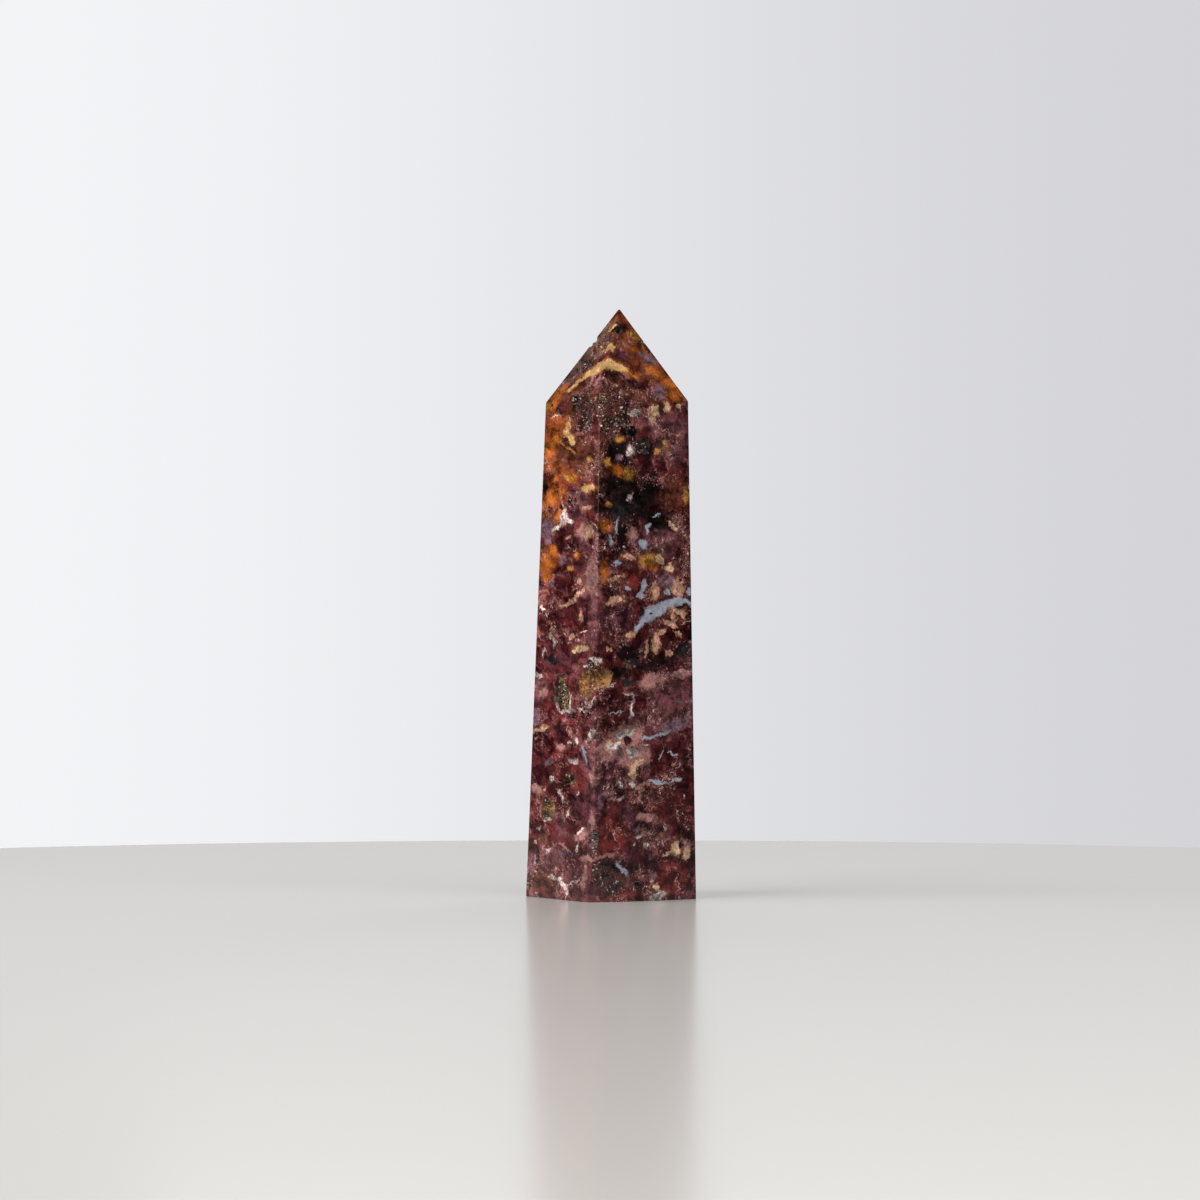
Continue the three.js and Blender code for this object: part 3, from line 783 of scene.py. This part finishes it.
ground = {
    "grainTilt": -18.0,  # the stone's own texture is drawn out from front to back, rising to the front
    "grainWay": (1.0, 0.6, 1.0),
    "depth": {"front": 0.68, "left": 1.08},  # painted shade and light on the ground colour: the front face darkened, the left brightened, beyond what the lamps do
    "clouds": [(0.3, (36, 13, 16)), (0.42, (92, 36, 38)), (0.52, (62, 24, 27)), (0.62, (110, 52, 54)),
               (0.75, (106, 64, 69))],
    "pieces": [(0.0, (48, 18, 20)), (0.16, (96, 38, 38)), (0.34, (60, 23, 26)), (0.48, (112, 52, 50)),
               (0.6, (88, 48, 52)), (0.74, (42, 15, 18)), (0.86, (116, 68, 70)), (0.95, (106, 54, 44))],
    "rubble": [(0.0, (48, 19, 21)), (0.25, (96, 42, 42)), (0.5, (68, 27, 29)), (0.72, (128, 76, 74)),
               (0.9, (156, 108, 104))],
    "seams": (146, 96, 92),
    "pieceCells": (0.26, 0.05),  # pieces to a millimetre, and the width of their seams
    "rubbleCells": (0.95, 0.1),
    "pieceShare": 0.5,
    "rubbleShare": 0.4,
    "mottle": (0.28, 1.75),  # the darkest and the brightest that the broad mottling makes a colour
    "grain": (0.76, 1.24),
    "cloudNoise": (0.4, 7.0, 0.62),  # how fine, how many octaves, how rough
    "frayNoise": (1.2, 8.0, 0.72),
    "roughFrom": (-0.2, 0.3),
}
patterns = {  # the same three for other noises, and between which of its values a pattern sets in
    "crumbs": (1.9, 4.0, 0.6, 0.42, 0.56),
    "crushed": (0.3, 4.0, 0.55, 0.5, 0.58),
    "seams": (0.4, 2.0, 0.55, 0.5, 0.65),
    "mottle": (0.6, 9.0, 0.7, 0.37, 0.65),
    "crowd": (0.3, 5.0, 0.65, 0.46, 0.62),
    "grain": (4.0, 4.0, 0.75, 0.3, 0.7),
    "quartzCloud": (3.0, 2.0, 0.55, 0.56, 0.62),
}
uneven = {  # how finely a place is pushed about, and how far in millimetres
    "bent": (0.3, (3, 3, 3)),
    "torn": (1.5, (1.2, 1.2, 1.2)),
    "swept": (0.8, (1.9, 2.6, 1.9)),
    "frayed": (3.0, (0.9, 1.2, 0.9)),
}
flecks = {
    "shards": {"pattern": (0.9, 6.0, 0.68, 0.57, 0.65), "amount": 0.4, "colour": (158, 104, 98)},
    "dark": {"pattern": (1.3, 6.0, 0.68, 0.58, 0.65), "amount": 0.65, "colour": (36, 14, 17)},
    "pale": {"pattern": (1.9, 6.0, 0.68, 0.575, 0.64), "amount": 0.95, "colour": (218, 180, 173)},
}
fleckShift = 11.0  # each kind of fleck reads its noise this much further along
veinlets = {"noise": (0.45, 5.0, 0.6), "width": 0.012, "amount": 0.7, "colour": (196, 150, 144)}
specks = {"cells": 2.0, "size": 0.2, "share": 0.26, "colour": (228, 206, 200)}
dust = {"cells": 3.0, "size": 0.3, "share": 0.24, "colour": (226, 200, 194)}


def foldOf(tree, place, *values):  # how far a place is from the winding sheets where noise crosses its middle
    return maths(tree, "ABSOLUTE", maths(tree, "SUBTRACT", noiseOf(tree, place, *values), 0.5))


def setIn(tree, place, pattern, *shades):  # how far a noise has come from where it sets in to its fullest
    *noise, start, end = pattern
    return rescale(tree, noiseOf(tree, place, *noise), start, end, *shades)


def greyOf(tree, value):
    return node(tree, "CombineColor", {0: value, 1: value, 2: value}).outputs[0]


def strewn(tree, place, grains):
    inputs = {"Place": place, "Cells": grains["cells"], "Size": grains["size"], "Share": grains["share"]}
    return fillGroup(tree, fleckGroup, inputs)


def layFlecks(tree, colour, place, crowd):
    for number, fleck in enumerate(flecks.values()):
        moved = vectorMaths(tree, "ADD", place, (fleckShift * number, 0.0, 0.0))
        torn = setIn(tree, moved, fleck["pattern"])
        amount = maths(tree, "MULTIPLY", maths(tree, "MULTIPLY", torn, fleck["amount"]), crowd)
        colour = mixColour(tree, amount, colour, albedo(fleck["colour"]))
    line = rescale(tree, foldOf(tree, place, *veinlets["noise"]), veinlets["width"], 0.0)
    amount = maths(tree, "MULTIPLY", maths(tree, "MULTIPLY", line, veinlets["amount"]), crowd)
    colour = mixColour(tree, amount, colour, albedo(veinlets["colour"]))
    spots = strewn(tree, place, dust)
    amount = maths(tree, "MULTIPLY", maths(tree, "MULTIPLY", spots["Mask"], spots["Shade"]), crowd)
    return mixColour(tree, amount, colour, albedo(dust["colour"]))


def pushed(tree, way, place, source):
    scale, reach = uneven[way]
    inputs = {"Place": place, "Source": source, "Scale": scale, "Reach": reach}
    return fillGroup(tree, warpGroup, inputs)["Place"]


def broken(tree, place, cells):
    return fillGroup(tree, clastGroup, {"Place": place, "Cells": cells[0], "Seam": cells[1]})


def makeStoneGroup(face):  # the stone's colour on one face with that face's painted shading, or in its hollows, from a place in millimetres
    outputs = {"Colour": "Color", "Rough": "Float"}
    group, given, result = newGroup("laceAgate_" + face, {"Place": "Vector"}, outputs)
    place = given["Place"]
    inputs = {"Vector": place, "Angle": math.radians(ground["grainTilt"])}
    tilted = node(group, "VectorRotate", inputs, rotation_type="X_AXIS")
    drawn = vectorMaths(group, "MULTIPLY", tilted.outputs[0], ground["grainWay"])
    bent = pushed(group, "bent", drawn, drawn)
    torn = pushed(group, "torn", bent, drawn)
    swept = pushed(group, "swept", place, drawn)
    frayed = pushed(group, "frayed", swept, place)
    fray = maths(group, "SUBTRACT", noiseOf(group, drawn, *ground["frayNoise"]), 0.5)
    crumbs = setIn(group, torn, patterns["crumbs"])
    pieces = broken(group, torn, ground["pieceCells"])
    rubble = broken(group, torn, ground["rubbleCells"])
    colour = ramp(group, noiseOf(group, bent, *ground["cloudNoise"]), ground["clouds"])
    pieceColour = ramp(group, pieces["Shade"], ground["pieces"], "CONSTANT")
    colour = mixColour(group, ground["pieceShare"], colour, pieceColour)
    crushed = setIn(group, torn, patterns["crushed"])
    rubbleColour = ramp(group, rubble["Shade"], ground["rubble"], "CONSTANT")
    crushedShare = maths(group, "MULTIPLY", crushed, ground["rubbleShare"])
    colour = mixColour(group, crushedShare, colour, rubbleColour)
    seamShare = setIn(group, drawn, patterns["seams"])
    seam = maths(group, "MULTIPLY", pieces["Seam"], seamShare)
    colour = mixColour(group, seam, colour, albedo(ground["seams"]))
    # painted shade and light: each face's mottling range is scaled by its depth, darker on the front,
    # brighter on the left
    darkest, brightest = (shade * ground["depth"].get(face, 1.0) for shade in ground["mottle"])
    mottle = greyOf(group, setIn(group, torn, patterns["mottle"], darkest, brightest))
    colour = mixColour(group, 1.0, colour, mottle, "MULTIPLY")
    crowd = setIn(group, drawn, patterns["crowd"])
    if face in faceEdges:
        below = [layer for name, layer in markings.items() if name in underFlecks]
        above = [layer for name, layer in markings.items() if name not in underFlecks]
        colour = layMarkings(group, face, colour, below, frayed, fray, crumbs, mottle)
        colour = layFlecks(group, colour, torn, crowd)
        colour = layMarkings(group, face, colour, above, frayed, fray, crumbs, mottle)
    else:
        colour = layFlecks(group, colour, torn, crowd)
        colour = layLinings(group, colour, place, fray, mottle)
    crowded = maths(group, "MULTIPLY", strewn(group, torn, specks)["Mask"], crowd)
    colour = mixColour(group, crowded, colour, albedo(specks["colour"]))
    grain = greyOf(group, setIn(group, drawn, patterns["grain"], *ground["grain"]))
    colour = mixColour(group, 1.0, colour, grain, "MULTIPLY")
    group.links.new(colour, result["Colour"])
    group.links.new(rescale(group, fray, *ground["roughFrom"]), result["Rough"])
    return group


def newMaterial(name):
    material = bpy.data.materials.new(name)
    material.use_nodes = True
    tree = material.node_tree
    shader = tree.nodes["Principled BSDF"]
    place = scaled(tree, node(tree, "TexCoord").outputs["Object"], 1 / mm)
    return material, tree, shader, place


polish = {
    "roughness": (0.5, 1.0, 0.14, 0.3),  # between which values of the pattern, and the finish there
    "ior": 1.54,
    "specular": 0.3,
    "pits": {"Cells": 1.3, "Size": 0.16, "Share": 0.16},
    "pitDepth": 0.7,
    "waver": (0.25, 2.0),  # how finely the ground faces waver
    "waverHeight": 3.0,
    "bump": {"Strength": 0.35, "Distance": 0.05 * mm},
}
wallFinish = {"roughness": (0.0, 1.0, 0.35, 0.8), "grains": (4.0, 5.0, 0.7),
              "bump": {"Strength": 0.8, "Distance": 0.2 * mm}}
quartz = {"pale": (206, 172, 142), "paleShare": 0.65, "roughness": 0.08, "ior": 1.55,
          "coat": {"Weight": 0.5, "Roughness": 0.06, "IOR": 2.2}}


def makePolishedStone(face):
    material, tree, shader, place = newMaterial("polishedStone_" + face)
    stoneGroup = makeStoneGroup(face)
    stoneLook = fillGroup(tree, stoneGroup, {"Place": place})
    tree.links.new(stoneLook["Colour"], shader.inputs["Base Color"])
    rough = rescale(tree, stoneLook["Rough"], *polish["roughness"])
    tree.links.new(rough, shader.inputs["Roughness"])
    shader.inputs["IOR"].default_value = polish["ior"]
    shader.inputs["Specular IOR Level"].default_value = polish["specular"]
    pits = fillGroup(tree, fleckGroup, {"Place": place, **polish["pits"]})["Mask"]
    wave = maths(tree, "MULTIPLY", noiseOf(tree, place, *polish["waver"]), polish["waverHeight"])
    height = maths(tree, "SUBTRACT", wave, maths(tree, "MULTIPLY", pits, polish["pitDepth"]))
    bump = node(tree, "Bump", {"Height": height, **polish["bump"]})
    tree.links.new(bump.outputs[0], shader.inputs["Normal"])
    return material


def makeRoughStone(stoneGroup):
    material, tree, shader, place = newMaterial("hollowWall")
    stoneLook = fillGroup(tree, stoneGroup, {"Place": place})
    tree.links.new(stoneLook["Colour"], shader.inputs["Base Color"])
    rough = rescale(tree, stoneLook["Rough"], *wallFinish["roughness"])
    tree.links.new(rough, shader.inputs["Roughness"])
    height = noiseOf(tree, place, *wallFinish["grains"])
    bump = node(tree, "Bump", {"Height": height, **wallFinish["bump"]})
    tree.links.new(bump.outputs[0], shader.inputs["Normal"])
    return material


def makeDruseQuartz(stoneGroup):
    material, tree, shader, place = newMaterial("druseQuartz")
    stoneLook = fillGroup(tree, stoneGroup, {"Place": place})
    cloud = setIn(tree, place, patterns["quartzCloud"])
    paleShare = maths(tree, "MULTIPLY", cloud, quartz["paleShare"])
    pale = mixColour(tree, paleShare, stoneLook["Colour"], albedo(quartz["pale"]))
    tree.links.new(pale, shader.inputs["Base Color"])
    shader.inputs["Roughness"].default_value = quartz["roughness"]
    shader.inputs["IOR"].default_value = quartz["ior"]
    for name, value in quartz["coat"].items():
        shader.inputs["Coat " + name].default_value = value
    return material


hollowGroup = makeStoneGroup("hollows")
polishedStone = {face: makePolishedStone(face) for face in faceEdges}
hollowWallStone = makeRoughStone(hollowGroup)
druseQuartz = makeDruseQuartz(hollowGroup)
print("stone materials", sum(len(group.nodes) for group in bpy.data.node_groups), "nodes")

dressFaces(tower, polishedStone)
hollowOut(tower, hollowWallStone)
pickOnly(tower)
bpy.ops.object.shade_smooth_by_angle(angle=math.radians(stone["crispFrom"]))
applyModifier(tower, "WEIGHTED_NORMAL", keep_sharp=True)
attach(tower, "root")
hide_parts("agate_tower")
print("hollows cut", len(tower.data.polygons), "faces")

druse = {
    "radius": (0.09, 0.2),
    "length": (0.35, 0.8),
    "lean": 0.55,
    "root": 0.35,  # the share of a crystal that stands in the wall
    "inset": 0.04,
    "tries": 6,
    "spread": 1.5,  # how far round a hollow's middle its wall is looked for, in half sizes
    "point": 0.45,  # the share of a crystal's length that its point takes
}


def buildCrystal():  # one six-sided crystal with a point, a unit across and a unit tall
    bpy.ops.object.select_all(action="DESELECT")
    point = druse["point"]
    middle = (0, 0, 1 - point / 2)
    bpy.ops.mesh.primitive_cone_add(vertices=6, radius1=1, radius2=0, depth=point, location=middle)
    crystal = bpy.context.object
    bpy.ops.object.mode_set(mode="EDIT")
    bpy.ops.mesh.select_all(action="DESELECT")
    bpy.ops.object.mode_set(mode="OBJECT")
    for face in crystal.data.polygons:
        face.select = face.normal.z < -0.9
    bpy.ops.object.mode_set(mode="EDIT")
    bpy.ops.mesh.extrude_region_move(TRANSFORM_OT_translate={"value": (0, 0, point - 1)})
    bpy.ops.object.mode_set(mode="OBJECT")
    settle(crystal)
    return crystal


def insideGround(point):
    return all((point - start).dot(normal) < -druse["inset"] for start, normal in groundPlanes)


def wallSpots(tower, at, half, count):  # places on a hollow's wall, more of them where it is wider
    reach = Vector(half) * druse["spread"]
    faces = []
    for face in tower.data.polygons:
        away = face.center / mm - Vector(at)
        if face.material_index == len(faceEdges) and all(abs(away[i]) < reach[i] for i in range(3)):
            faces.append(face)
    if not faces:
        return []
    areas = [face.area for face in faces]
    chosen = random.choices(faces, areas, k=count * druse["tries"])
    return [(face.center / mm, face.normal.copy()) for face in chosen]


def growDruse(tower):
    crystal = buildCrystal()
    grown = []
    for at, half, _, _, count in hollows.values():
        left = count
        for foot, normal in wallSpots(tower, at, half, count):
            if left == 0:
                break
            sway = Vector([random.uniform(-1, 1) for _ in range(3)]) * druse["lean"]
            along = (normal + sway).normalized()
            radius = random.uniform(*druse["radius"])
            length = random.uniform(*druse["length"])
            start = foot - along * druse["root"] * length
            if not insideGround(start + along * length):
                continue
            copy = crystal.copy()
            copy.data = crystal.data.copy()
            turned = along.to_track_quat("Z", "Y").to_matrix().to_4x4()
            size = Matrix.Diagonal((radius * mm, radius * mm, length * mm, 1))
            copy.matrix_world = Matrix.Translation(start * mm) @ turned @ size
            scene.collection.objects.link(copy)
            grown.append(copy)
            left -= 1
    bpy.data.objects.remove(crystal)
    bpy.ops.object.select_all(action="DESELECT")
    for copy in grown:
        copy.select_set(True)
    bpy.context.view_layer.objects.active = grown[0]
    bpy.ops.object.join()
    crust = bpy.context.object
    crust.name = "quartzDruse"
    settle(crust)
    crust.data.materials.clear()
    crust.data.materials.append(druseQuartz)
    return crust, len(grown)


crust, grownCount = growDruse(tower)
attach(crust, "root")
print("druse grown", grownCount, "crystals")

# The camera stands where the photo was taken from: low, and a little left of the front face
lens = {"azimuth": -32.0, "distance": 380.5, "height": 23.2, "aside": -1.58, "tiltUp": 3.3,
        "focalLength": 75.0, "sensorWidth": 36.0}

studio = {
    "floorSize": 3.0,
    "floorShine": 0.2,
    "wallRadius": 0.226,
    "wallHeight": 1.2,
    "paleFloor": (0.7, 0.695, 0.68, 1),
    # painted light: the wall glows, brightest on its left and dimmer to the right, as if lit from the left
    "wallBright": (0.9, 0.905, 0.93, 1),
    "wallDim": (0.66, 0.66, 0.69, 1),
    "dimWay": (0.848, -0.53, 0.0),
    "dimReach": 0.15,
    "boardAway": 0.32,
    "boardSize": 0.6,
    "boardBright": (0.6, 0.6, 0.61, 1),
    "roomLight": 0.12,
    "lampTarget": (0, 0, 0.04),
}
lamps = {  # each soft light's place, lit area, power and colour
    "windowLight": ((-0.62, 0.02, 0.42), (0.7, 0.6), 5.5, (1, 0.985, 0.96)),
    "roomFill": ((-0.05, -0.75, 0.6), (0.9, 0.5), 4.4, (1, 0.97, 0.94)),
    "backFill": ((0.5, 0.55, 0.55), (0.8, 0.6), 3.0, (1, 0.98, 0.96)),
}


def plainMaterial(name, colour, roughness):
    material = bpy.data.materials.new(name)
    material.use_nodes = True
    shader = material.node_tree.nodes["Principled BSDF"]
    shader.inputs["Base Color"].default_value = colour
    shader.inputs["Roughness"].default_value = roughness
    return material


def makeWallMaterial():  # an evenly pale wall glowing with painted light, a little brighter on the left, open from outside
    material = bpy.data.materials.new("paleWall")
    material.use_nodes = True
    tree = material.node_tree
    tree.nodes.clear()
    place = node(tree, "TexCoord").outputs["Object"]
    aside = vectorMaths(tree, "DOT_PRODUCT", place, studio["dimWay"])
    paintedFalloff = rescale(tree, aside, -studio["dimReach"], studio["dimReach"])
    tone = mixColour(tree, paintedFalloff, studio["wallBright"], studio["wallDim"])
    glow = node(tree, "Emission", {"Color": tone}).outputs[0]
    clear = node(tree, "BsdfTransparent").outputs[0]
    inner = node(tree, "NewGeometry").outputs["Backfacing"]
    mix = node(tree, "MixShader", {0: inner, 1: clear, 2: glow}).outputs[0]
    tree.links.new(mix, tree.nodes.new("ShaderNodeOutputMaterial").inputs["Surface"])
    return material


def makeGlow(name, colour):
    material = bpy.data.materials.new(name)
    material.use_nodes = True
    tree = material.node_tree
    tree.nodes.clear()
    glow = node(tree, "Emission", {"Color": colour}).outputs[0]
    tree.links.new(glow, tree.nodes.new("ShaderNodeOutputMaterial").inputs["Surface"])
    return material


def buildStage():
    bpy.ops.object.select_all(action="DESELECT")
    bpy.ops.mesh.primitive_plane_add(size=studio["floorSize"], location=(0, 0, 0))
    floor = bpy.context.object
    floor.name = "paleFloor"
    floor.data.materials.append(plainMaterial("paleFloor", studio["paleFloor"], studio["floorShine"]))
    bpy.ops.object.select_all(action="DESELECT")
    bpy.ops.mesh.primitive_cylinder_add(vertices=192, radius=studio["wallRadius"], depth=studio["wallHeight"],
                                        end_fill_type="NOTHING", location=(0, 0, studio["wallHeight"] / 2))
    wall = bpy.context.object
    wall.name = "paleWall"
    settle(wall)
    wall.data.materials.append(makeWallMaterial())
    wall.visible_diffuse = wall.visible_glossy = wall.visible_shadow = False
    bpy.ops.object.select_all(action="DESELECT")
    away = math.radians(lens["azimuth"])
    place = Vector((-math.sin(away), math.cos(away), 0)) * studio["boardAway"]
    place.z = -studio["boardSize"] / 4
    bpy.ops.mesh.primitive_plane_add(size=studio["boardSize"], location=place,
                                     rotation=(math.radians(90), 0, away))
    board = bpy.context.object
    board.name = "paleBoard"  # what the shining floor mirrors behind the tower
    board.data.materials.append(makeGlow("paleBoard", studio["boardBright"]))
    board.visible_camera = board.visible_diffuse = board.visible_shadow = False


def addAreaLight(name, place, size, power, colour):
    light = bpy.data.lights.new(name, "AREA")
    light.shape = "RECTANGLE"
    light.size, light.size_y = size
    light.energy = power
    light.color = colour
    lamp = bpy.data.objects.new(name, light)
    lamp.location = place
    aim = Vector(studio["lampTarget"]) - Vector(place)
    lamp.rotation_euler = aim.to_track_quat("-Z", "Y").to_euler()
    scene.collection.objects.link(lamp)


def buildLights():
    for name, values in lamps.items():
        addAreaLight(name, *values)
    world = bpy.data.worlds.new("paleRoom")
    scene.world = world
    world.use_nodes = True
    tree = world.node_tree
    background = tree.nodes["Background"]
    background.inputs["Color"].default_value = [studio["roomLight"]] * 3 + [1]
    world.cycles_visibility.glossy = False


def buildCamera():
    camera = bpy.data.cameras.new("photoCamera")
    camera.lens = lens["focalLength"]
    camera.sensor_width = lens["sensorWidth"]
    camera.clip_start = 0.01
    holder = bpy.data.objects.new("photoCamera", camera)
    turn = math.radians(lens["azimuth"])
    rightHand = Vector((math.cos(turn), math.sin(turn), 0))
    backward = Vector((math.sin(turn), -math.cos(turn), 0))
    eye = backward * lens["distance"] + rightHand * lens["aside"] + Vector((0, 0, lens["height"]))
    holder.location = eye * mm
    holder.rotation_euler = (math.radians(90 + lens["tiltUp"]), 0, turn)
    scene.collection.objects.link(holder)
    scene.camera = holder


buildStage()
buildLights()
buildCamera()
print("stage, lights and camera set")
